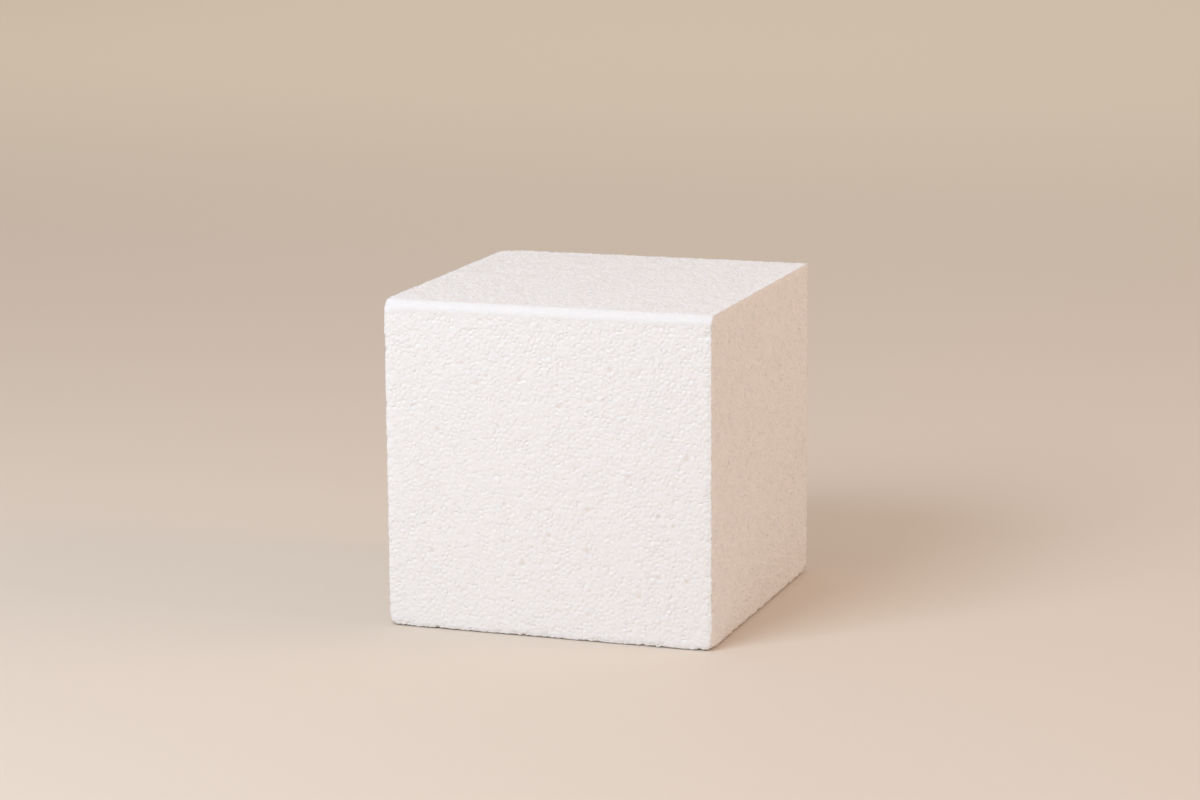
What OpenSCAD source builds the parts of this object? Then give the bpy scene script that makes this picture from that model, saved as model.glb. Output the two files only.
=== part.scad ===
// Foam block: one solid block of white expanded bead foam that stands on its base.
// Sizes are in millimetres. The origin is the middle of the base, +Z is up and the
// front face looks along -Y, so the left face is at -X and the right face at +X.

/* [Block] */
// Width, from the left face to the right face
block_w = 150; // [100:1:200]
// Depth, from the front face to the back face
block_d = 150; // [100:1:200]
// Height, from the base to the top
block_h = 146; // [100:1:200]

/* [Worn edges and corners] */
// Radius of the edge between the front face and the top, pressed smooth along its whole length
top_front_r = 5; // [2:0.5:10]
// Radius of the soft upright corner at the back left
back_left_r = 10; // [3:0.5:20]
// Radius of the upright corner at the front left
front_left_r = 2; // [1:0.5:8]
// Radius of the edge between the right face and the base
base_right_r = 1.6; // [0.5:0.1:6]
// Radius of every other edge
edge_r = 0.8; // [0.5:0.1:3]

/* [Beads] */
// Diameter of one foam bead
bead_d = 2.6; // [2:0.1:5]
// Depth of the socket that a lost bead leaves in a face
socket_depth = 0.9; // [0.3:0.1:1.5]
// Average distance between the sockets scattered over the top and over the right, back and left faces
socket_spacing = 28; // [22:1:60]
// Band beside each edge that the scattered sockets stay out of
socket_margin = 8; // [4:1:20]

/* [Hidden] */
$fn = 64;
overcut = 1;

// Sockets in the front face, which the others aren't like: [percent of the width from the left
// face, percent of the height down from the top]
FRONT_SOCKETS = [
    [37, 60], [42, 22], [54, 29.5], [24.5, 18], [84, 60.5], [42.5, 77.5], [62.5, 72.5], [65, 72],
    [63, 84.5], [62.5, 60], [78, 85], [50.5, 85.5], [63, 92], [92.5, 42.5], [50.5, 68.5], [92.5, 79.5],
    [84, 79], [14.5, 76], [75, 49], [36.5, 71.5], [88.5, 63], [29, 24], [63.5, 27.5], [67.5, 26.5],
    [69.5, 17.5], [16.5, 38.5], [35.5, 36.5]
];

// Chips in an edge, where beads have broken away: [percent of the edge's length, bead diameters across]
// Front edge of the base, from the left face
BASE_FRONT_CHIPS = [[1.5, 0.8], [5.5, 0.7], [15.5, 1], [42.5, 0.8], [79, 0.9], [96, 0.9]];
// Right edge of the base, from the front face
BASE_RIGHT_CHIPS = [[22, 0.8], [28, 0.9], [38.5, 1.2], [48, 0.8], [61, 0.8], [80, 1.1], [98, 1.6]];
// Upright edge at the front left, from the top
FRONT_LEFT_CHIPS = [[11.5, 0.8], [15, 1.1], [32, 0.9], [70, 0.8], [73.5, 0.8], [93.5, 0.8]];

// The n-th of a row of numbers from 0 up to 1 that look drawn at random but are always the same:
// what stands behind the point in a thousand times a sine whose angle grows by a set step
function draw(row, n) = let(x = 1000 * sin(n * (100 + 17.3 * row))) x - floor(x);

// How far the middle of an edge eased to radius r lies in from each of its two faces
function eased_inset(r) = r * (1 - sqrt(1 / 2));

// Corner at the origin with its sides along +X and +Y: what rounding it to radius r takes away
module corner_waste(r) {
    difference() {
        translate([-overcut, -overcut]) square(r + overcut);
        translate([r, r]) circle(r = r);
    }
}

// Outline of w by h from the origin, with a radius for each corner
module eased_outline(w, h, lower_left, lower_right, upper_right, upper_left) {
    difference() {
        square([w, h]);
        corner_waste(lower_left);
        translate([w, 0]) rotate(90) corner_waste(lower_right);
        translate([w, h]) rotate(180) corner_waste(upper_right);
        translate([0, h]) rotate(270) corner_waste(upper_left);
    }
}

// The block with its eased edges: what its plan, its front outline and its side outline share
module eased_block() {
    intersection() {
        translate([-block_w / 2, -block_d / 2, 0])
            linear_extrude(block_h)
                eased_outline(block_w, block_d, front_left_r, edge_r, edge_r, back_left_r);
        translate([-block_w / 2, block_d / 2, 0])
            rotate([90, 0, 0])
                linear_extrude(block_d)
                    eased_outline(block_w, block_h, edge_r, base_right_r, edge_r, edge_r);
        translate([-block_w / 2, -block_d / 2, 0])
            rotate([90, 0, 90])
                linear_extrude(block_w)
                    eased_outline(block_d, block_h, edge_r, edge_r, edge_r, top_front_r);
    }
}

// Puts its children on an upright face: +X runs to the right along the face, -Y runs down
// from the top and +Z points out of it. turn is 0 for the front, 90 for the right,
// 180 for the back and 270 for the left.
module on_side(turn) {
    across = turn % 180 == 0;
    run = across ? block_w : block_d;
    reach = across ? block_d : block_w;
    rotate(turn) translate([-run / 2, -reach / 2, block_h]) rotate([90, 0, 0]) children();
}

// Puts its children on the top: +X runs to the right and -Y runs from the back to the front
module on_top() {
    translate([-block_w / 2, block_d / 2, block_h]) children();
}

// The socket of a lost bead, in a face that looks along +Z
module socket() {
    translate([0, 0, bead_d / 2 - socket_depth]) sphere(d = bead_d);
}

// Sockets scattered over a face of run by fall, whose upper left corner is the origin. Each
// place takes its distance along the face from one row of draws and its distance down from the next.
module scattered_sockets(run, fall, row) {
    free_run = run - 2 * socket_margin;
    free_fall = fall - 2 * socket_margin;
    for (n = [1 : round(run * fall / pow(socket_spacing, 2))])
        translate([socket_margin + free_run * draw(row, n), -socket_margin - free_fall * draw(row + 1, n), 0])
            socket();
}

// A chip that has taken away beads over size bead diameters
module chip(size) {
    sphere(d = size * bead_d);
}

// What lost beads leave in the faces
module sockets() {
    on_side(0) for (s = FRONT_SOCKETS) translate([s[0] * block_w, -s[1] * block_h, 0] / 100) socket();
    on_side(90) scattered_sockets(block_d, block_h, 12);
    on_side(180) scattered_sockets(block_w, block_h, 19);
    on_side(270) scattered_sockets(block_d, block_h, 28);
    on_top() scattered_sockets(block_w, block_d, 8);
}

// What broken beads leave along the edges, each chip centred on its eased edge
module chips() {
    front_inset = eased_inset(edge_r);
    right_inset = eased_inset(base_right_r);
    upright_inset = eased_inset(front_left_r);
    on_side(0)
        for (c = BASE_FRONT_CHIPS) translate([c[0] * block_w / 100, front_inset - block_h, -front_inset]) chip(c[1]);
    on_side(90)
        for (c = BASE_RIGHT_CHIPS) translate([c[0] * block_d / 100, right_inset - block_h, -right_inset]) chip(c[1]);
    on_side(0)
        for (c = FRONT_LEFT_CHIPS) translate([upright_inset, -c[0] * block_h / 100, -upright_inset]) chip(c[1]);
}

// The foam block
module foam_block() {
    color([0.95, 0.94, 0.93])
        difference() {
            eased_block();
            sockets();
            chips();
        }
}

foam_block();
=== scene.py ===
"""Foam block: one solid block of white expanded bead foam, standing on its base.

The block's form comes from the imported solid's box. Its skin is a closed mesh of fused beads:
each bead is a low dome whose rim is shared with the beads round it, so the creases between
beads, the sockets of lost beads and the chips in the edges are all real surface. Lengths are
in metres, +Z is up and the front face looks along -Y.
"""

import logging
import math
from dataclasses import dataclass, field
from enum import Enum

import bpy
import numpy as np
from mathutils import Matrix, Vector
from mathutils.geometry import delaunay_2d_cdt

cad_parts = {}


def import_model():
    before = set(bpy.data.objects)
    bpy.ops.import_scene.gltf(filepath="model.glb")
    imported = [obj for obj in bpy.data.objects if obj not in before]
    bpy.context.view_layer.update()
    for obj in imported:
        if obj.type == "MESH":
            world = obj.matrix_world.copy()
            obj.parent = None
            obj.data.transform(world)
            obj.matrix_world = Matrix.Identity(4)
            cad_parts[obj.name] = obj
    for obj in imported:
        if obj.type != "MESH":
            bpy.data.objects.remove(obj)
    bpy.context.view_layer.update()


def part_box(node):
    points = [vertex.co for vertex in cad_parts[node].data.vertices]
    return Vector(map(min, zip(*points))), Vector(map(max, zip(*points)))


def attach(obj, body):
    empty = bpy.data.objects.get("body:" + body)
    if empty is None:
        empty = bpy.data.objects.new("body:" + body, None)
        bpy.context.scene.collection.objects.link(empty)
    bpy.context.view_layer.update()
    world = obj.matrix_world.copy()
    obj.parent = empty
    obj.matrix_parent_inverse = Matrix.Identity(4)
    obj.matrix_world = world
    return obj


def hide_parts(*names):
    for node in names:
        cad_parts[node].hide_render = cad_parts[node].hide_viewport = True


LOG = logging.getLogger("foam_block")
MM = 0.001
AT_END = 0.3 * MM  # how close to an end of the box a point counts as on it


class Side(Enum):
    """A face of the block, as the two directions in which it is read: across and down."""

    FRONT = ((1, 0, 0), (0, 0, -1))
    RIGHT = ((0, 1, 0), (0, 0, -1))
    BACK = ((-1, 0, 0), (0, 0, -1))
    LEFT = ((0, -1, 0), (0, 0, -1))
    TOP = ((1, 0, 0), (0, -1, 0))
    BASE = ((1, 0, 0), (0, 1, 0))

    @property
    def across(self) -> np.ndarray:
        """The direction in which a row of beads runs."""
        return np.array(self.value[0])

    @property
    def down(self) -> np.ndarray:
        """The direction from the first row to the last."""
        return np.array(self.value[1])

    @property
    def out(self) -> np.ndarray:
        """The direction in which the face looks: across turned onto up."""
        return np.cross(self.across, -self.down)

    @property
    def start(self) -> np.ndarray:
        """The corner of the block where the rows start, -1 or 1 on each axis."""
        return self.out - self.across - self.down


SIDES = list(Side)

# For each worn corner its ways, how much the radii grow there, and how far off they start.
WORN_CORNERS = (
    ((-1, -1, 1), 2.5 * MM, 8.0 * MM),
    ((-1, -1, -1), 2.0 * MM, 6.0 * MM),
    ((1, -1, -1), 1.5 * MM, 12.0 * MM),
    ((1, 1, -1), 1.0 * MM, 6.0 * MM),
)


@dataclass(frozen=True)
class BlockForm:
    """The form under the beads: a box whose edges are eased in its plan and two outlines.

    Attributes:
        low: The box's lowest corner.
        high: The box's highest corner.
        top_front_r: Radius of the pressed edge between the front and the top.
        back_left_r: Radius of the soft upright corner at the back left.
        front_left_r: Radius of the upright corner at the front left.
        base_right_r: Radius of the edge between the right face and the base.
        edge_r: Radius of every other edge.
        worn: For each worn corner its ways, how much the radii grow there, and how far off
            they start to grow.
    """

    low: np.ndarray
    high: np.ndarray
    top_front_r: float = 5.0 * MM
    back_left_r: float = 10.0 * MM
    front_left_r: float = 2.0 * MM
    base_right_r: float = 1.6 * MM
    edge_r: float = 0.8 * MM
    worn: tuple[tuple[tuple[int, int, int], float, float], ...] = WORN_CORNERS

    @property
    def size(self) -> np.ndarray:
        """The box's three sides."""
        return self.high - self.low

    def corner(self, ways: np.ndarray) -> np.ndarray:
        """The box's corner that lies these ways, -1 or 1 on each axis."""
        return np.where(np.array(ways) > 0, self.high, self.low)

    def ends(self, points: np.ndarray) -> np.ndarray:
        """Where each point lies on each axis: -1 at the low end, 1 at the high end, else 0."""
        at_high = self.high - points < AT_END
        return at_high.astype(int) - (points - self.low < AT_END)

    def outlines(self) -> list[tuple[int, int, dict[tuple[int, int], float]]]:
        """The outlines that are eased, in the order in which they are applied.

        Returns:
            For each outline its two axes, and the radius at the corner that lies each way.
        """
        even = dict.fromkeys([(-1, -1), (1, -1), (1, 1), (-1, 1)], self.edge_r)
        front = even | {(1, -1): self.base_right_r}
        side = even | {(-1, 1): self.top_front_r}
        plan = even | {(-1, -1): self.front_left_r, (-1, 1): self.back_left_r}
        return [(0, 2, front), (1, 2, side), (0, 1, plan)]

    def wear(self, points: np.ndarray) -> np.ndarray:
        """How much the radii grow at each point: a smooth step of its distance to a corner.

        Args:
            points: Points of the sharp box, one a row.

        Returns:
            The growth at each point.
        """
        grown = np.zeros(len(points))
        for ways, growth, reach in self.worn:
            away = np.linalg.norm(points - self.corner(ways), axis=1)
            grown += growth * smooth_step(reach - away, 0, reach)
        return grown

    def eased(self, points: np.ndarray) -> np.ndarray:
        """Moves points of the sharp box onto the eased form.

        In each corner of an outline the square beside the arc goes onto the quarter disc
        inside it: a point keeps its direction from the arc's centre, and its distance becomes
        the larger of its two parts, so the square's sides land on the arc.

        Args:
            points: Points on or in the sharp box, one a row.

        Returns:
            The moved points.
        """
        moved = points.copy()
        grown = self.wear(points)
        for a, b, radii in self.outlines():
            for (way_a, way_b), least in radii.items():
                radius = least + grown
                centre_a = self.corner([way_a] * 3)[a] - way_a * radius
                centre_b = self.corner([way_b] * 3)[b] - way_b * radius
                part_a = way_a * (moved[:, a] - centre_a)
                part_b = way_b * (moved[:, b] - centre_b)
                held = (part_a > 0) & (part_b > 0)
                reach = np.where(held, np.hypot(part_a, part_b), 1)
                share = np.maximum(part_a, part_b) / reach
                moved[held, a] = (centre_a + way_a * part_a * share)[held]
                moved[held, b] = (centre_b + way_b * part_b * share)[held]
        return moved


def unit(vectors: np.ndarray) -> np.ndarray:
    """The vectors, one a row, each divided by its length."""
    return vectors / np.linalg.norm(vectors, axis=1, keepdims=True)


def smooth_step(values: np.ndarray, start: float, end: float) -> np.ndarray:
    """0 up to start and 1 from end, along the curve of three squares less two cubes."""
    share = np.clip((values - start) / (end - start), 0, 1)
    return share * share * (3 - 2 * share)


def draw(row: int, n: np.ndarray) -> np.ndarray:
    """The n-th numbers, from 0 up to 1, of a row that looks random but is always the same."""
    # What stands behind the point in a thousand times the sine of n times the row's angle.
    first_angle, angle_step, gain = 100, 17.3, 1000
    return gain * np.sin(np.radians(n * (first_angle + angle_step * row))) % 1


def face_normals(points: np.ndarray, faces: np.ndarray) -> np.ndarray:
    """Each triangle's normal times twice its area: the cross product of two of its edges."""
    a, b, c = (points[faces[:, k]] for k in range(3))
    return np.cross(b - a, c - a)


def point_normals(points: np.ndarray, faces: np.ndarray) -> np.ndarray:
    """Each point's unit normal: the sum over its triangles of their area-weighted normals.

    Args:
        points: The points, one a row.
        faces: The triangles, each as the numbers of its three points.

    Returns:
        The normals, one a row.
    """
    normals = face_normals(points, faces)
    total = np.stack(
        [
            np.bincount(
                faces.ravel(), np.repeat(normals[:, k], 3), minlength=len(points)
            )
            for k in range(3)
        ],
        axis=1,
    )
    return unit(total)


@dataclass
class BeadSkin:
    """The beads that show on the block: where each lies, and the triangles that join them.

    Attributes:
        form: The form that the beads lie on.
        pitch: Mean distance between neighbouring beads along each axis; they are a little
            flatter than wide.
        scatter: How far a bead may start from its place in the row, as a share of the pitch.
        settling: How often the beads settle between their neighbours.
        pull_reach: How far a bead that is drawn to a place takes the others along.
        pull_passes: How often the beads are drawn to their places.
        seed: Start of the random draws.
        random: The random draws.
        counts: How many steps the box has along each axis.
        steps: Each bead's place, in whole steps from the box's low corner.
        free: Along which axes each bead may move: across its face, or along its edge.
        beads: The beads' tops, one a row.
        triangles: The triangles that join them, each as the numbers of its three beads.
        sides: The number of each triangle's face of the box.
    """

    form: BlockForm
    pitch: tuple[float, float, float] = (2.5 * MM, 2.5 * MM, 2.0 * MM)
    scatter: float = 0.5
    settling: int = 2
    pull_reach: float = 3.0 * MM
    pull_passes: int = 3
    seed: int = 11
    random: np.random.Generator = field(init=False)
    counts: np.ndarray = field(init=False)
    steps: np.ndarray = field(init=False)
    free: np.ndarray = field(init=False)
    beads: np.ndarray = field(init=False)
    triangles: np.ndarray = field(init=False)
    sides: np.ndarray = field(init=False)

    def __post_init__(self) -> None:
        """Scatters the beads over the sharp box and lets them settle."""
        self.random = np.random.default_rng(self.seed)
        self.counts = np.rint(self.form.size / self.pitch).astype(int)
        self.steps = self.places()
        self.free = (self.steps > 0) & (self.steps < self.counts)
        loose = self.random.uniform(-self.scatter, self.scatter, self.steps.shape)
        cells = self.steps + self.free * loose
        self.beads = self.form.low + cells / self.counts * self.form.size
        self.join()
        for _ in range(self.settling):
            self.settle()
            self.join()

    def places(self) -> np.ndarray:
        """The places of a grid over all six faces, in whole steps from the low corner.

        Each face's grid is its starting corner plus whole steps across and down, and a place
        that two or three faces share is kept once.

        Returns:
            The places, one a row.
        """
        grids = []
        for side in SIDES:
            runs = np.arange(np.abs(side.across) @ self.counts + 1)
            falls = np.arange(np.abs(side.down) @ self.counts + 1)
            i, j = np.meshgrid(runs, falls, indexing="ij")
            start = np.where(side.start > 0, self.counts, 0)
            grid = start + i[..., None] * side.across + j[..., None] * side.down
            grids.append(grid.reshape(-1, 3))
        return np.unique(np.concatenate(grids), axis=0)

    def join(self) -> None:
        """Joins the beads of each face into triangles whose circles hold no other bead."""
        triangles, sides = [], []
        whole_hull, tolerance, with_ids = 0, 1e-7, False
        for number, side in enumerate(SIDES):
            start = np.where(side.start > 0, self.counts, 0)
            mine = np.flatnonzero((self.steps - start) @ side.out == 0)
            away = self.beads[mine] - self.form.corner(side.start)
            plan = np.stack([away @ side.across, -(away @ side.down)], axis=1)
            made = delaunay_2d_cdt(plan.tolist(), [], [], whole_hull, tolerance, with_ids)
            joined = made[2]
            triangles.append(mine[np.array(joined)])
            sides.append(np.full(len(joined), number))
        self.triangles = np.concatenate(triangles)
        self.sides = np.concatenate(sides)

    def settle(self) -> None:
        """Moves each bead to the mean of its neighbours, as far as its face or edge lets it."""
        one = self.triangles.ravel()
        two = np.roll(self.triangles, 1, axis=1).ravel()
        own, other = np.concatenate([one, two]), np.concatenate([two, one])
        met = np.bincount(own)
        mean = np.stack(
            [np.bincount(own, self.beads[other, k]) / met for k in range(3)], axis=1
        )
        self.beads = np.where(self.free, mean, self.beads)

    def drawn_to(self, places: np.ndarray) -> np.ndarray:
        """Shifts the beads so that one lies at each place, joins them again and finds it.

        The nearest bead goes to the place, and the beads round it follow by a bell curve of
        their distance. A place on an edge gets a bead of that edge. A few passes bring beads
        near two places to rest.

        Args:
            places: Points of the sharp box's faces, one a row.

        Returns:
            The number of the bead at each place.
        """
        nearest = np.zeros(len(places), int)
        for _ in range(self.pull_passes):
            for k, place in enumerate(places):
                off = self.beads - place
                distance = np.linalg.norm(off, axis=1)
                same_kind = (self.free == (self.form.ends(place) == 0)).all(axis=1)
                nearest[k] = np.argmin(np.where(same_kind, distance, np.inf))
                follow = np.exp(-0.5 * (distance / self.pull_reach) ** 2)[:, None]
                pull = -off[nearest[k]] / follow[nearest[k]]
                self.beads = self.beads + self.free * follow * pull
        self.join()
        return nearest

    def seams(self) -> tuple[np.ndarray, np.ndarray]:
        """The pairs of neighbouring beads, and the two triangles on either side of each.

        Returns:
            The two beads of each pair, and the triangle left of the way from the first to
            the second, seen from outside, then the one right of it.
        """
        ends = self.triangles[:, [0, 1, 1, 2, 2, 0]].reshape(-1, 2)
        owner = np.repeat(np.arange(len(self.triangles)), 3)
        low, high = ends.min(axis=1), ends.max(axis=1)
        order = np.lexsort((high, low))
        left, right = order[0::2], order[1::2]
        return ends[left], np.stack([owner[left], owner[right]], axis=1)


@dataclass(frozen=True)
class Mottle:
    """A soft uneven pattern between two values, as a node group that materials share.

    Attributes:
        size: Size of its patches.
        low: Value where the pattern is lowest.
        high: Value where it is highest.
        detail: How many finer octaves it has.
    """

    size: float
    low: float
    high: float
    detail: float = 1.0

    @staticmethod
    def group() -> bpy.types.ShaderNodeTree:
        """The group: noise at a scale of one over Size, its middle stretched to Low and High.

        Returns:
            The group, made the first time.
        """
        name = "soft_mottle"
        if name in bpy.data.node_groups:
            return bpy.data.node_groups[name]
        tree = bpy.data.node_groups.new(name, "ShaderNodeTree")
        for socket in ("Size", "Low", "High", "Detail"):
            tree.interface.new_socket(socket, in_out="INPUT", socket_type="NodeSocketFloat")
        tree.interface.new_socket("Value", in_out="OUTPUT", socket_type="NodeSocketFloat")
        given = tree.nodes.new("NodeGroupInput")
        result = tree.nodes.new("NodeGroupOutput")
        place = tree.nodes.new("ShaderNodeTexCoord")
        scale = tree.nodes.new("ShaderNodeMath")
        scale.operation = "DIVIDE"
        scale.inputs[0].default_value = 1.0
        noise = tree.nodes.new("ShaderNodeTexNoise")
        stretch = tree.nodes.new("ShaderNodeMapRange")
        middle = (0.3, 0.7)
        stretch.inputs["From Min"].default_value = middle[0]
        stretch.inputs["From Max"].default_value = middle[1]
        tree.links.new(given.outputs["Size"], scale.inputs[1])
        tree.links.new(place.outputs["Object"], noise.inputs["Vector"])
        tree.links.new(scale.outputs[0], noise.inputs["Scale"])
        tree.links.new(given.outputs["Detail"], noise.inputs["Detail"])
        tree.links.new(noise.outputs["Fac"], stretch.inputs["Value"])
        tree.links.new(given.outputs["Low"], stretch.inputs["To Min"])
        tree.links.new(given.outputs["High"], stretch.inputs["To Max"])
        tree.links.new(stretch.outputs["Result"], result.inputs["Value"])
        return tree

    def put(self, tree: bpy.types.ShaderNodeTree) -> bpy.types.NodeSocket:
        """Puts the group in a material's tree with these values.

        Args:
            tree: The material's tree.

        Returns:
            The group's output.
        """
        node = tree.nodes.new("ShaderNodeGroup")
        node.node_tree = self.group()
        node.inputs["Size"].default_value = self.size
        node.inputs["Low"].default_value = self.low
        node.inputs["High"].default_value = self.high
        node.inputs["Detail"].default_value = self.detail
        return node.outputs["Value"]


def combined(
    tree: bpy.types.ShaderNodeTree,
    operation: str,
    one: bpy.types.NodeSocket,
    two: bpy.types.NodeSocket | float,
) -> bpy.types.NodeSocket:
    """Adds a math node to a tree.

    Args:
        tree: The material's tree.
        operation: The node's operation, such as ADD.
        one: Its first input.
        two: Its second input, a socket or a number.

    Returns:
        The node's output.
    """
    node = tree.nodes.new("ShaderNodeMath")
    node.operation = operation
    tree.links.new(one, node.inputs[0])
    if isinstance(two, bpy.types.NodeSocket):
        tree.links.new(two, node.inputs[1])
    else:
        node.inputs[1].default_value = two
    return node.outputs[0]


def attribute(tree: bpy.types.ShaderNodeTree, name: str) -> bpy.types.NodeSocket:
    """Adds a node that reads an attribute of the mesh.

    Args:
        tree: The material's tree.
        name: The attribute's name.

    Returns:
        The attribute's value.
    """
    node = tree.nodes.new("ShaderNodeAttribute")
    node.attribute_name = name
    return node.outputs["Fac"]


def ranged(
    tree: bpy.types.ShaderNodeTree, source: bpy.types.NodeSocket, low: float, high: float
) -> bpy.types.NodeSocket:
    """Adds a node that turns 0 to 1 into low to high.

    Args:
        tree: The material's tree.
        source: Where its value comes from.
        low: What 0 becomes.
        high: What 1 becomes.

    Returns:
        The node's output.
    """
    node = tree.nodes.new("ShaderNodeMapRange")
    node.inputs["To Min"].default_value = low
    node.inputs["To Max"].default_value = high
    tree.links.new(source, node.inputs["Value"])
    return node.outputs["Result"]


@dataclass(frozen=True)
class FoamFinish:
    """White bead foam: matt, with a painted shade, a little deeper and warmer, in its hollows.

    Attributes:
        name: The material's name.
        skin: Colour of the beads' tops.
        painted_hollow_shade: Painted shade: the colour at the bottom of a lost bead's socket.
        tone_spread: How much lighter or darker one bead is than another.
        pressed_tone: How light the pressed skin is against the rest.
        roughness: Roughness of the beads' skin.
        pressed_roughness: Roughness of the pressed skin.
        shine: How much it mirrors at that roughness.
        glow: Share of the light that goes through the foam and out beside.
        glow_reach: How far it goes.
        glow_colour: How far red, green and blue go, as shares of that.
        rim_power: How close to the rim a bead falls away; 2 is a round dome.
        rim_fall: How far it does so, in millimetres, from a shut crease to an open one.
        lumps: The uneven bead tops, in millimetres.
        grain: The fine cells in a bead's skin, in millimetres.
    """

    name: str = "white_bead_foam"
    skin: tuple[float, float, float] = (0.9, 0.89, 0.885)
    # Painted shade: the darker, warmer colour that the hollows are tinted towards.
    painted_hollow_shade: tuple[float, float, float] = (0.85, 0.78, 0.71)
    tone_spread: float = 0.012
    pressed_tone: float = 0.95
    roughness: float = 0.42
    pressed_roughness: float = 0.8
    shine: float = 0.55
    glow: float = 0.12
    glow_reach: float = 3.0 * MM
    glow_colour: tuple[float, float, float] = (1.0, 0.85, 0.7)
    rim_power: float = 1.8
    rim_fall: Mottle = Mottle(size=4.0 * MM, low=0.0, high=-0.19)
    lumps: Mottle = Mottle(size=1.5 * MM, low=-0.07, high=0.07)
    grain: Mottle = Mottle(size=0.5 * MM, low=-0.01, high=0.01)

    def material(self) -> bpy.types.Material:
        """Builds the material from the mesh's attributes painted_hollow_shade, bead_tone, pressed,
        rim, relief; the first paints shade into the hollows.

        The height is the fall towards the rim, plus the lumps and the grain, all of it less
        where the foam was pressed smooth.

        Returns:
            The material.
        """
        made = bpy.data.materials.new(self.name)
        made.use_nodes = True
        tree = made.node_tree
        shader = tree.nodes["Principled BSDF"]
        shader.inputs["Specular IOR Level"].default_value = self.shine
        shader.inputs["Subsurface Weight"].default_value = self.glow
        shader.inputs["Subsurface Radius"].default_value = self.glow_colour
        shader.inputs["Subsurface Scale"].default_value = self.glow_reach

        # Painted shade: the skin is mixed towards a darker, warmer colour where the mesh lies deep
        # in a crease, hole or socket.
        shade = tree.nodes.new("ShaderNodeMix")
        shade.data_type = "RGBA"
        shade.inputs["A"].default_value = (*self.skin, 1)
        shade.inputs["B"].default_value = (*self.painted_hollow_shade, 1)
        tree.links.new(attribute(tree, "painted_hollow_shade"), shade.inputs["Factor"])
        least, most = 1 - self.tone_spread, 1 + self.tone_spread
        bead = ranged(tree, attribute(tree, "bead_tone"), least, most)
        flattened = attribute(tree, "pressed")
        pressed = ranged(tree, flattened, 1, self.pressed_tone)
        rough = ranged(tree, flattened, self.roughness, self.pressed_roughness)
        toned = tree.nodes.new("ShaderNodeVectorMath")
        toned.operation = "SCALE"
        tree.links.new(shade.outputs["Result"], toned.inputs["Vector"])
        tree.links.new(combined(tree, "MULTIPLY", bead, pressed), toned.inputs["Scale"])
        tree.links.new(toned.outputs["Vector"], shader.inputs["Base Color"])
        tree.links.new(rough, shader.inputs["Roughness"])

        fall = combined(tree, "POWER", attribute(tree, "rim"), self.rim_power)
        dome = combined(tree, "MULTIPLY", fall, self.rim_fall.put(tree))
        uneven = combined(tree, "ADD", self.lumps.put(tree), self.grain.put(tree))
        whole = combined(tree, "ADD", dome, uneven)
        height = combined(tree, "MULTIPLY", whole, attribute(tree, "relief"))
        bump = tree.nodes.new("ShaderNodeBump")
        bump.inputs["Strength"].default_value = 1
        bump.inputs["Distance"].default_value = MM
        tree.links.new(height, bump.inputs["Height"])
        tree.links.new(bump.outputs["Normal"], shader.inputs["Normal"])
        return made


# For each lost bead on the front, its shares of the way across and down.
FRONT_SOCKETS = (
    (0.37, 0.6), (0.42, 0.22), (0.54, 0.295), (0.245, 0.18), (0.84, 0.605), (0.425, 0.775),
    (0.625, 0.725), (0.65, 0.72), (0.63, 0.845), (0.625, 0.6), (0.78, 0.85), (0.505, 0.855),
    (0.63, 0.92), (0.925, 0.425), (0.505, 0.685), (0.925, 0.795), (0.84, 0.79), (0.145, 0.76),
    (0.75, 0.49), (0.365, 0.715), (0.885, 0.63), (0.29, 0.24), (0.635, 0.275), (0.675, 0.265),
    (0.695, 0.175), (0.165, 0.385), (0.355, 0.365),
)  # fmt: skip


# The row of draws that scatters the lost beads over each of the other faces.
SOCKET_ROWS = {Side.RIGHT: 12, Side.BACK: 19, Side.LEFT: 28, Side.TOP: 8}


@dataclass(frozen=True)
class ChippedEdge:
    """An edge of the block and the chips in it.

    Attributes:
        side: A face that ends in the edge.
        start: Shares of the way across and down that face at which the edge starts.
        end: The same for its end.
        chips: For each chip, its share of the way along and its width in beads.
    """

    side: Side
    start: tuple[float, float]
    end: tuple[float, float]
    chips: tuple[tuple[float, float], ...]


CHIPPED_EDGES = (
    ChippedEdge(
        Side.FRONT, (0, 1), (1, 1),
        ((0.015, 0.8), (0.055, 0.7), (0.155, 1), (0.425, 0.8), (0.79, 0.9), (0.96, 0.9)),
    ),
    ChippedEdge(
        Side.RIGHT, (0, 1), (1, 1),
        ((0.22, 0.8), (0.28, 0.9), (0.385, 1.2), (0.48, 0.8), (0.61, 0.8), (0.8, 1.1), (0.98, 1.6)),
    ),
    ChippedEdge(
        Side.FRONT, (0, 0), (0, 1),
        ((0.115, 0.8), (0.15, 1.1), (0.32, 0.9), (0.7, 0.8), (0.735, 0.8), (0.935, 0.8)),
    ),
)  # fmt: skip

# For each rougher edge its ways, 0 along it, and how far its beads may have worn back.
ROUGH_EDGES = (
    ((0, -1, -1), 0.6 * MM),
    ((1, 0, -1), 0.6 * MM),
    ((1, 0, 1), 0.8 * MM),
    ((1, 1, 0), 0.2 * MM),
)


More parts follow.
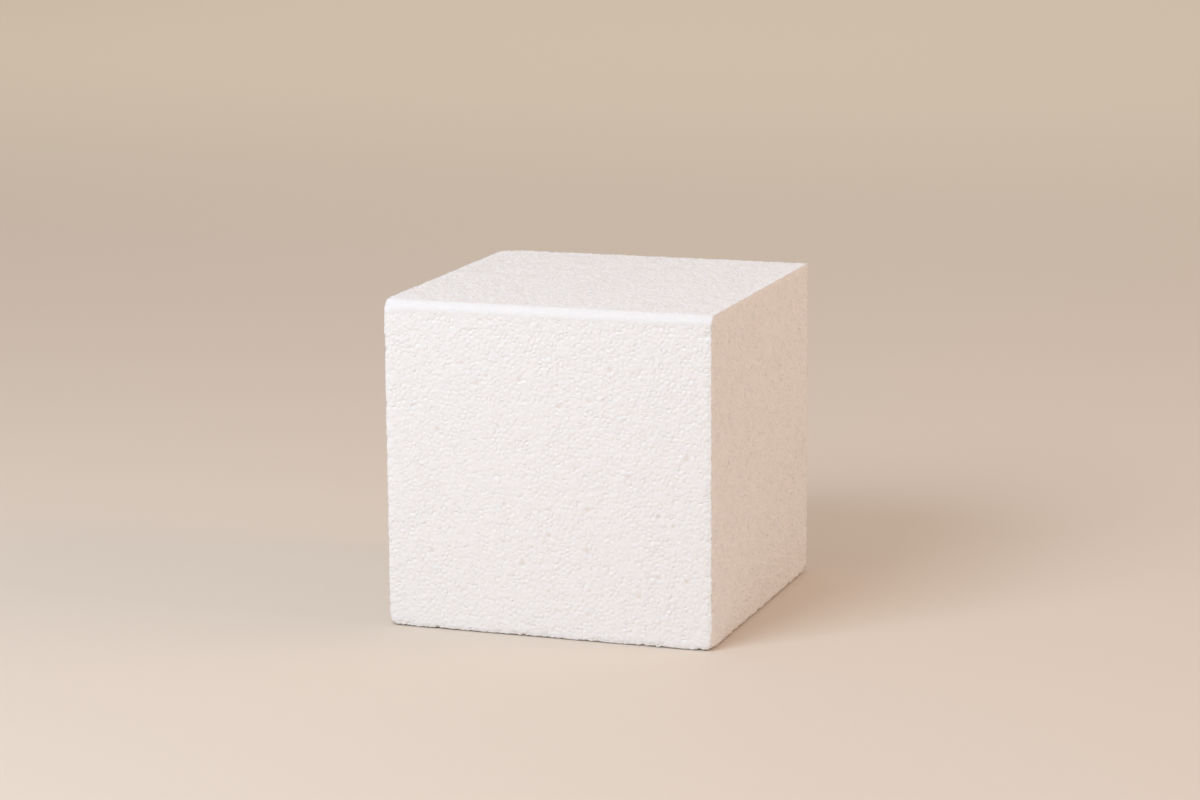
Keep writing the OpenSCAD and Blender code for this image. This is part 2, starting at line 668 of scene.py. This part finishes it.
@dataclass
class FoamBlock:
    """The foam block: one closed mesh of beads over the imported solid's form.

    Attributes:
        form: The form under the beads.
        finish: The foam's finish.
        bead_d: Diameter of a bead, in which the chips' widths are given.
        crease: Depth of the corner where three beads meet.
        crease_spread: How much that depth varies each way.
        bead_sink: How far the lowest bead top lies under the form.
        void_share: Share of those corners that are open holes.
        void_depth: Depth of the deepest of them.
        edge_sink: How far a bead on an edge may have worn back.
        rough_edges: The edges where that differs, each with its ways, 0 along it, and how far.
        edge_lean: Least and greatest share of its way in that an edge point goes on an axis.
        edge_limit: How far it goes along an axis at most.
        edge_follow: Share of that by which the points beside it follow.
        socket_depth: Depth of a lost bead's socket.
        socket_spacing: Distance between the sockets scattered over a face.
        socket_margin: How far they stay from the face's edges.
        pressed: Share of the relief that is left on the pressed edge.
        pressed_end: Where the pressed skin starts to fade and where it ends, in its radii.
        top_relief: Relief of the top face, against the front's.
        cut_relief: Relief of the other faces, against the front's.
        edge_band: Width of the band along the edges in which both come down to the front's.
        seed: Start of the random draws.
        name: The piece's name.
        skin: The beads.
        random: The random draws.
    """

    form: BlockForm
    finish: FoamFinish = FoamFinish()
    bead_d: float = 2.6 * MM
    crease: float = 0.26 * MM
    crease_spread: float = 0.12 * MM
    bead_sink: float = 0.3 * MM
    void_share: float = 0.012
    void_depth: float = 0.7 * MM
    edge_sink: float = 0.3 * MM
    rough_edges: tuple[tuple[tuple[int, int, int], float], ...] = ROUGH_EDGES
    edge_lean: tuple[float, float] = (0.4, 1.6)
    edge_limit: float = 0.4 * MM
    edge_follow: float = 1.0
    socket_depth: float = 0.9 * MM
    socket_spacing: float = 28.0 * MM
    socket_margin: float = 8.0 * MM
    pressed: float = 0.25
    pressed_end: tuple[float, float] = (0.8, 1.1)
    top_relief: float = 1.6
    cut_relief: float = 2.0
    edge_band: float = 4.0 * MM
    seed: int = 7
    name: str = "foam_block_beads"
    skin: BeadSkin = field(init=False)
    random: np.random.Generator = field(init=False)

    def __post_init__(self) -> None:
        """Scatters the beads."""
        self.skin = BeadSkin(self.form)
        self.random = np.random.default_rng(self.seed)

    def on_face(self, side: Side, across: np.ndarray, down: np.ndarray) -> np.ndarray:
        """Points on a face.

        Args:
            side: The face.
            across: For each point its share of the way across.
            down: For each point its share of the way down.

        Returns:
            The points, one a row.
        """
        start = self.form.corner(side.start)
        way_across = side.across * self.form.size
        way_down = side.down * self.form.size
        return start + np.outer(across, way_across) + np.outer(down, way_down)

    def scattered(self, side: Side, row: int) -> np.ndarray:
        """Places of the sockets scattered over a face, clear of its edges by a margin.

        Args:
            side: The face.
            row: The row of draws for the way across; the next one is for the way down.

        Returns:
            The places, one a row.
        """
        runs = np.abs(side.across) @ self.form.size
        falls = np.abs(side.down) @ self.form.size
        n = np.arange(1, round(runs * falls / self.socket_spacing**2) + 1)
        draws = [draw(row, n), draw(row + 1, n)]
        margins = [self.socket_margin / runs, self.socket_margin / falls]
        shares = [m + (1 - 2 * m) * d for m, d in zip(margins, draws, strict=True)]
        return self.on_face(side, *shares)

    def sockets(self) -> np.ndarray:
        """Places of all the lost beads: chosen ones on the front, scattered ones elsewhere.

        Returns:
            The places, one a row.
        """
        chosen = self.on_face(Side.FRONT, *np.array(FRONT_SOCKETS).T)
        others = [self.scattered(side, row) for side, row in SOCKET_ROWS.items()]
        return np.concatenate([chosen, *others])

    def chips(self) -> tuple[np.ndarray, np.ndarray]:
        """The chips.

        Returns:
            Their places on the sharp box, one a row, and their radii.
        """
        places, widths = [], []
        for edge in CHIPPED_EDGES:
            along, width = np.array(edge.chips).T
            start, end = np.array(edge.start), np.array(edge.end)
            shares = start + np.outer(along, end - start)
            places.append(self.on_face(edge.side, shares[:, 0], shares[:, 1]))
            widths.append(width)
        return np.concatenate(places), np.concatenate(widths) * self.bead_d / 2

    def build(self) -> bpy.types.Object:
        """Builds the mesh and its attributes, and puts it on its body.

        Returns:
            The finished object.
        """
        skin = self.skin
        sockets = self.sockets()
        chips, radii = self.chips()
        lost = skin.drawn_to(np.concatenate([sockets, chips]))[: len(sockets)]
        flat, faces, chart = self.fans()
        count = len(skin.beads)
        shaped = self.form.eased(flat)
        normals = point_normals(shaped, faces)
        pressed = self.pressed_share(flat)
        share = self.relief_share(flat, pressed)
        depth, painted_hollow_shade = self.relief(flat, count, share, lost)
        points = shaped + self.way_in(flat, faces, normals, depth)
        points = self.carved(points, self.form.eased(chips), radii, self.outward(chips))

        mesh = bpy.data.meshes.new(self.name)
        mesh.from_pydata(points, [], faces)
        mesh.polygons.foreach_set("use_smooth", np.ones(len(faces), bool))
        ends = np.empty(len(mesh.edges) * 2, np.int32)
        mesh.edges.foreach_get("vertices", ends)
        on_rim = np.arange(len(points)) >= count
        tones = self.random.uniform(0, 1, count)[faces[:, 0]]
        rims = on_rim[ends.reshape(-1, 2)].all(axis=1)
        self.note(mesh, "sharp_edge", "BOOLEAN", "EDGE", rims)
        # Painted shade: how far each point's colour is darkened in the hollows.
        self.note(mesh, "painted_hollow_shade", "FLOAT", "POINT", painted_hollow_shade)
        self.note(mesh, "rim", "FLOAT", "POINT", on_rim)
        self.note(mesh, "relief", "FLOAT", "POINT", share)
        self.note(mesh, "pressed", "FLOAT", "POINT", pressed)
        self.note(mesh, "bead_tone", "FLOAT", "FACE", tones)
        self.lay_flat(mesh, flat, faces, chart)
        mesh.materials.append(self.finish.material())
        block = bpy.data.objects.new(self.name, mesh)
        bpy.context.scene.collection.objects.link(block)
        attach(block, "root")
        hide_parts("foam_block")
        return block

    def fans(self) -> tuple[np.ndarray, np.ndarray, np.ndarray]:
        """The points on the sharp box and the triangles between them.

        Each pair of neighbouring beads has the middles of the two triangles beside it, the
        corners where three beads meet. Each bead of the pair gets the triangle from its top
        to those two corners, so a bead is a fan of about six and its rim is a crease. Where
        the pair lies on an edge of the box, the middle between the two beads is a point too,
        and it cuts each triangle in two, one on either face.

        Returns:
            The points, the beads' tops first; the triangles, each from a bead's top; and the
            number of each triangle's face of the box.
        """
        skin = self.skin
        pairs, beside = skin.seams()
        one, two = pairs.T
        left, right = (len(skin.beads) + beside).T
        left_side, right_side = skin.sides[beside].T
        bent = left_side != right_side
        corners = skin.beads[skin.triangles].mean(axis=1)
        middles = skin.beads[pairs[bent]].mean(axis=1)
        flat = np.concatenate([skin.beads, corners, middles])
        middle = len(flat) - len(middles) + np.arange(len(middles))

        even = ~bent
        parts = [
            (one[even], right[even], left[even], left_side[even]),
            (two[even], left[even], right[even], left_side[even]),
            (one[bent], right[bent], middle, right_side[bent]),
            (one[bent], middle, left[bent], left_side[bent]),
            (two[bent], left[bent], middle, left_side[bent]),
            (two[bent], middle, right[bent], right_side[bent]),
        ]
        every = np.concatenate([np.stack(part, axis=1) for part in parts])
        return flat, every[:, :3], every[:, 3]

    @staticmethod
    def note(mesh: bpy.types.Mesh, name: str, kind: str, on: str, values: np.ndarray) -> None:
        """Gives the mesh an attribute.

        Args:
            mesh: The mesh.
            name: The attribute's name.
            kind: BOOLEAN or FLOAT.
            on: What carries it: POINT, EDGE or FACE.
            values: Its values, in the order of those points, edges or faces.
        """
        layer = mesh.attributes.new(name, kind, on)
        plain = values.astype(bool if kind == "BOOLEAN" else np.float32)
        layer.data.foreach_set("value", plain)

    def off_edge(self, flat: np.ndarray) -> np.ndarray:
        """How far each point is from an edge: the second smallest of its ways to an end."""
        inside = np.minimum(flat - self.form.low, self.form.high - flat)
        return np.sort(inside, axis=1)[:, 1]

    def on_edge(self, flat: np.ndarray) -> np.ndarray:
        """Which points of the sharp box lie on one of its edges."""
        return self.off_edge(flat) < AT_END

    def edge_wear(self, flat: np.ndarray) -> np.ndarray:
        """How far each point may have worn back: edge_sink or its rough edge's, and 0 off them.

        Args:
            flat: The points of the sharp box, one a row.

        Returns:
            The greatest wear at each point.
        """
        most = np.where(self.on_edge(flat), self.edge_sink, 0.0)
        ends = self.form.ends(flat)
        for ways, sink in self.rough_edges:
            there = (ends == ways) | (np.array(ways) == 0)
            most[there.all(axis=1)] = sink
        return most

    def way_in(
        self, flat: np.ndarray, faces: np.ndarray, normals: np.ndarray, depth: np.ndarray
    ) -> np.ndarray:
        """The way each point goes in: against its normal, by its depth.

        A point on an edge goes a random share of that along each axis, up to a limit. It
        comes nearer to one face than to the other, so that no edge is straight from any
        side. The points beside it follow by a share of the mean way of their neighbours on
        the edge, so that nothing folds over.

        Args:
            flat: The points of the sharp box, one a row.
            faces: The triangles between them.
            normals: The points' unit normals.
            depth: How far each lies under the form.

        Returns:
            The ways, one a row.
        """
        on_edge = self.on_edge(flat)
        way = -normals * depth[:, None]
        leaning = way * self.random.uniform(*self.edge_lean, flat.shape)
        held = np.clip(leaning, -self.edge_limit, self.edge_limit)

        one, two = faces.ravel(), np.roll(faces, 1, axis=1).ravel()
        own, other = np.concatenate([one, two]), np.concatenate([two, one])
        beside = on_edge[other] & ~on_edge[own]
        own, other = own[beside], other[beside]
        met = np.maximum(np.bincount(own, minlength=len(flat)), 1)
        drawn = [np.bincount(own, held[other, k], minlength=len(flat)) / met for k in range(3)]
        follow = self.edge_follow * np.stack(drawn, axis=1)
        return np.where(on_edge[:, None], held, way + follow)

    def pressed_share(self, flat: np.ndarray) -> np.ndarray:
        """How far each point was pressed: a smooth step down, by its distance to the edge.

        Args:
            flat: The points of the sharp box, one a row.

        Returns:
            The shares, 1 by the pressed edge and 0 away from it.
        """
        behind = flat[:, 1] - self.form.low[1]
        below = self.form.high[2] - flat[:, 2]
        fades, ends = np.array(self.pressed_end) * self.form.top_front_r
        return 1 - smooth_step(np.hypot(behind, below), fades, ends)

    def relief_share(self, flat: np.ndarray, pressed: np.ndarray) -> np.ndarray:
        """Relief at each point against the front's: less where pressed, more on other faces.

        The other faces' relief comes down to the front's in a band along the edges.

        Args:
            flat: The points of the sharp box, one a row.
            pressed: How far each was pressed.

        Returns:
            The shares.
        """
        ends = self.form.ends(flat)
        most = np.where(ends[:, 2] == 1, self.top_relief, self.cut_relief)
        inward = smooth_step(self.off_edge(flat), 0, self.edge_band)
        whole = np.where(ends[:, 1] == -1, 1, 1 + (most - 1) * inward)
        return whole + (self.pressed - whole) * pressed

    def relief(
        self, flat: np.ndarray, count: int, share: np.ndarray, lost: np.ndarray
    ) -> tuple[np.ndarray, np.ndarray]:
        """How far each point lies under the eased form, and how much painted shade it gets there.

        A bead's top is sunk by a random way and a corner by the crease's depth with a random
        part, and some corners off the edges are open holes. What lies deeper than two creases
        gets painted shade, up to 1 at a socket's depth. All that is scaled by the relief, and then
        beads on an edge are worn back by the square of a random share, so that few are worn
        far.

        Args:
            flat: The points of the sharp box, the beads' tops first.
            count: How many tops there are.
            share: Relief at each point against the front's.
            lost: Numbers of the lost beads.

        Returns:
            The depths, and the shares of painted shade from 0 to 1.
        """
        total = len(flat)
        rest = total - count
        tops = self.random.uniform(0, self.bead_sink, count)
        spread = self.random.uniform(-self.crease_spread, self.crease_spread, rest)
        holes = self.random.uniform(self.crease, self.void_depth, rest)
        open_here = self.random.uniform(0, 1, rest) < self.void_share
        open_here &= ~self.on_edge(flat)[count:]
        corners = np.where(open_here, holes, self.crease + spread)
        depth = np.concatenate([tops, corners])
        depth[lost] = self.socket_depth
        shallow = 2 * self.crease
        # Painted shade: its share grows with depth past two creases, up to 1 at a socket's depth.
        painted_hollow_shade = np.clip((depth - shallow) / (self.socket_depth - shallow), 0, 1)
        worn = self.random.uniform(0, 1, total) ** 2 * self.edge_wear(flat)
        depth = depth * share + worn * np.minimum(share, 1)
        depth[lost] = self.socket_depth
        return depth, painted_hollow_shade

    def outward(self, places: np.ndarray) -> np.ndarray:
        """The way out at each place on an edge: halfway between the faces that meet there."""
        return unit(self.form.ends(places))

    def carved(
        self, points: np.ndarray, middles: np.ndarray, radii: np.ndarray, ways: np.ndarray
    ) -> np.ndarray:
        """Carves a ball out of the surface at each chip.

        A point inside a ball goes in, against the chip's way out, to the ball's far side.
        With b the part along that way of the point's place from the ball's middle, and c
        its squared distance less the squared radius, it goes by b plus the root of b squared
        less c.

        Args:
            points: The points, one a row.
            middles: Middles of the balls.
            radii: Their radii.
            ways: The unit way out at each.

        Returns:
            The points, moved where a ball holds them.
        """
        for middle, radius, way in zip(middles, radii, ways, strict=True):
            away = points - middle
            c = (away**2).sum(axis=1) - radius**2
            b = away @ way
            way_in = b + np.sqrt(np.maximum(b**2 - c, 0))
            points = points - way * np.where(c < 0, way_in, 0)[:, None]
        return points

    def lay_flat(
        self, mesh: bpy.types.Mesh, flat: np.ndarray, faces: np.ndarray, chart: np.ndarray
    ) -> None:
        """Gives the mesh its map: the six faces of the box in three columns and two rows.

        Args:
            mesh: The mesh.
            flat: Its points on the sharp box, one a row.
            faces: Its triangles.
            chart: The number of each triangle's face of the box.
        """
        columns, rows = 3, 2
        gutter = 0.006
        uv = np.empty((len(faces), 3, 2))
        for number, side in enumerate(SIDES):
            mine = chart == number
            away = flat[faces[mine]] - self.form.corner(side.start)
            across = away @ side.across / (np.abs(side.across) @ self.form.size)
            down = away @ side.down / (np.abs(side.down) @ self.form.size)
            shares = np.stack([across, 1 - down], axis=-1)
            cell = np.array([number % columns, number // columns])
            uv[mine] = (cell + gutter + shares * (1 - 2 * gutter)) / (columns, rows)
        layer = mesh.uv_layers.new(name="OFBake")
        layer.uv.foreach_set("vector", uv.astype(np.float32).ravel())


@dataclass(frozen=True)
class Viewpoint:
    """The camera: where it stands and how it is turned.

    Attributes:
        place: Where it stands.
        yaw: Degrees that it looks away from +Y, towards +X.
        pitch: Degrees that it looks down.
        roll: Degrees that it is turned about its own line of sight.
        lens: Focal length in millimetres.
        sensor: Width of the sensor in millimetres.
    """

    place: tuple[float, float, float] = (0.4926, -1.4159, 0.3916)
    yaw: float = -19.226
    pitch: float = 11.324
    roll: float = -0.44
    lens: float = 101.9
    sensor: float = 36.0

    def stand(self) -> bpy.types.Object:
        """Makes the camera and gives it to the scene.

        Returns:
            The camera.
        """
        yaw, pitch, roll = (math.radians(v) for v in (self.yaw, self.pitch, self.roll))
        ahead = Vector(
            (
                math.sin(yaw) * math.cos(pitch),
                math.cos(yaw) * math.cos(pitch),
                -math.sin(pitch),
            )
        )
        level = Vector((math.cos(yaw), -math.sin(yaw), 0))
        up = level.cross(ahead)
        right = math.cos(roll) * level + math.sin(roll) * up
        upward = -math.sin(roll) * level + math.cos(roll) * up
        turned = Matrix((right, upward, -ahead)).transposed().to_4x4()
        data = bpy.data.cameras.new("camera")
        data.lens = self.lens
        data.sensor_width = self.sensor
        camera = bpy.data.objects.new("camera", data)
        camera.matrix_world = Matrix.Translation(self.place) @ turned
        bpy.context.scene.collection.objects.link(camera)
        bpy.context.scene.camera = camera
        return camera


@dataclass(frozen=True)
class SoftBox:
    """A square lamp that looks at a point.

    Attributes:
        name: The lamp's name.
        azimuth: Degrees that it stands to the right of the front, seen from above.
        elevation: Degrees that it stands above the point.
        distance: How far from the point it stands.
        size: Length of its side.
        power: Its power in watts.
        colour: Its colour.
    """

    name: str
    azimuth: float
    elevation: float
    distance: float
    size: float
    power: float
    colour: tuple[float, float, float]

    def hang(self, target: Vector) -> bpy.types.Object:
        """Makes the lamp and turns it to the target.

        Args:
            target: The point that it looks at.

        Returns:
            The lamp.
        """
        data = bpy.data.lights.new(self.name, "AREA")
        data.shape = "SQUARE"
        data.size = self.size
        data.energy = self.power
        data.color = self.colour
        a, e = math.radians(self.azimuth), math.radians(self.elevation)
        away = Vector(
            (math.sin(a) * math.cos(e), -math.cos(a) * math.cos(e), math.sin(e))
        )
        lamp = bpy.data.objects.new(self.name, data)
        lamp.location = target + away * self.distance
        lamp.rotation_euler = away.to_track_quat("Z", "Y").to_euler()
        bpy.context.scene.collection.objects.link(lamp)
        return lamp


BLOCK_LAMPS = (
    SoftBox(
        name="key",
        azimuth=-24,
        elevation=37,
        distance=1.5,
        size=0.8,
        power=14.2,
        colour=(0.772, 0.882, 1.0),
    ),
    SoftBox(
        name="right_fill",
        azimuth=97,
        elevation=26,
        distance=1.6,
        size=0.7,
        power=5.65,
        colour=(1.0, 0.67, 0.45),
    ),
)

BACKDROP_LAMP = SoftBox(
    name="backdrop",
    azimuth=0,
    elevation=90,
    distance=1.0,
    size=3.4,
    power=12.5,
    colour=(0.95, 1.0, 0.78),
)


@dataclass(frozen=True)
class FloorFinish:
    """A plain pale matt floor.

    Attributes:
        name: The material's name.
        colour: Its colour.
        roughness: Its roughness.
        shine: How much it mirrors at that roughness.
        grain: How uneven it is, in millimetres.
    """

    name: str = "pale_floor"
    colour: tuple[float, float, float] = (0.74, 0.655, 0.56)
    roughness: float = 0.9
    shine: float = 0.2
    grain: Mottle = Mottle(size=3.0 * MM, low=-0.01, high=0.01)

    def material(self) -> bpy.types.Material:
        """Builds the material.

        Returns:
            The material.
        """
        made = bpy.data.materials.new(self.name)
        made.use_nodes = True
        tree = made.node_tree
        shader = tree.nodes["Principled BSDF"]
        shader.inputs["Base Color"].default_value = (*self.colour, 1)
        shader.inputs["Roughness"].default_value = self.roughness
        shader.inputs["Specular IOR Level"].default_value = self.shine
        bump = tree.nodes.new("ShaderNodeBump")
        bump.inputs["Distance"].default_value = MM
        tree.links.new(self.grain.put(tree), bump.inputs["Height"])
        tree.links.new(bump.outputs["Normal"], shader.inputs["Normal"])
        return made


@dataclass(frozen=True)
class Studio:
    """The plain pale dish that the block stands in, and the light round it.

    Attributes:
        floor_r: Radius of the flat floor.
        rim_r: Radius at the rim.
        rim_h: Height of the rim.
        flat_rings: How many rings of points the flat floor has.
        rising_rings: How many the part above it has.
        spokes: How many points there are on a ring.
        finish: The floor's finish.
        sky: Colour of the light from all round.
        sky_strength: Its strength.
        behind: The point behind the block that the backdrop's lamp looks at.
    """

    floor_r: float = 6.0
    rim_r: float = 9.0
    rim_h: float = 3.0
    flat_rings: int = 11
    rising_rings: int = 23
    spokes: int = 96
    finish: FloorFinish = FloorFinish()
    sky: tuple[float, float, float] = (1.0, 0.9, 0.87)
    sky_strength: float = 0.6
    behind: tuple[float, float, float] = (-0.9, 3.1, 0.0)

    def lay_floor(self) -> bpy.types.Object:
        """Makes the floor: a profile turned round the upright axis.

        The profile runs out flat to floor_r, then up a quarter of an ellipse to the rim. The
        middle is one flat face.

        Returns:
            The floor.
        """
        out = np.linspace(0, self.floor_r, self.flat_rings + 1)[1:]
        turn = np.linspace(0, math.pi / 2, self.rising_rings + 1)[1:]
        radius = np.concatenate(
            [out, self.floor_r + (self.rim_r - self.floor_r) * np.sin(turn)]
        )
        height = np.concatenate([np.zeros(len(out)), self.rim_h * (1 - np.cos(turn))])
        round_way = np.linspace(0, 2 * math.pi, self.spokes + 1)[:-1]
        ring = np.stack([np.cos(round_way), np.sin(round_way)], axis=1)
        points = np.concatenate(
            [
                radius[:, None, None] * ring[None],
                np.broadcast_to(height[:, None, None], (len(radius), len(ring), 1)),
            ],
            axis=2,
        ).reshape(-1, 3)
        index = np.arange(len(points)).reshape(len(radius), len(ring))
        after = np.roll(index, -1, axis=1)
        quads = np.stack([index[:-1], index[1:], after[1:], after[:-1]], axis=-1)
        faces = [*quads.reshape(-1, 4).tolist(), index[0].tolist()]
        mesh = bpy.data.meshes.new("floor")
        mesh.from_pydata(points, [], faces)
        mesh.polygons.foreach_set("use_smooth", np.ones(len(faces), bool))
        mesh.materials.append(self.finish.material())
        floor = bpy.data.objects.new("floor", mesh)
        bpy.context.scene.collection.objects.link(floor)
        return floor

    def light(self, middle: Vector) -> list[bpy.types.Object]:
        """Gives the world its even light and hangs the lamps.

        Args:
            middle: The block's middle.

        Returns:
            The lamps.
        """
        world = bpy.data.worlds.new("studio")
        bpy.context.scene.world = world
        world.use_nodes = True
        sky = world.node_tree.nodes["Background"]
        sky.inputs["Color"].default_value = (*self.sky, 1)
        sky.inputs["Strength"].default_value = self.sky_strength
        lamps = [lamp.hang(middle) for lamp in BLOCK_LAMPS]
        return [*lamps, BACKDROP_LAMP.hang(Vector(self.behind))]


def main() -> None:
    """Builds the block, the studio and the camera, and logs the pieces' face counts, the lamps'
    powers and the lens.
    """
    logging.basicConfig(level=logging.INFO, format="%(name)s %(message)s")
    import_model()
    low, high = (np.array(corner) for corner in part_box("foam_block"))
    studio = Studio()
    for piece in (FoamBlock(BlockForm(low, high)).build(), studio.lay_floor()):
        LOG.info("%s: %d faces", piece.name, len(piece.data.polygons))
    for lamp in studio.light(Vector((low + high) / 2)):
        LOG.info("lamp %s: %.1f W", lamp.name, lamp.data.energy)
    camera = Viewpoint().stand()
    LOG.info("camera: lens %.1f mm", camera.data.lens)
    bpy.context.scene.view_settings.view_transform = "Standard"


if __name__ == "__main__":
    main()
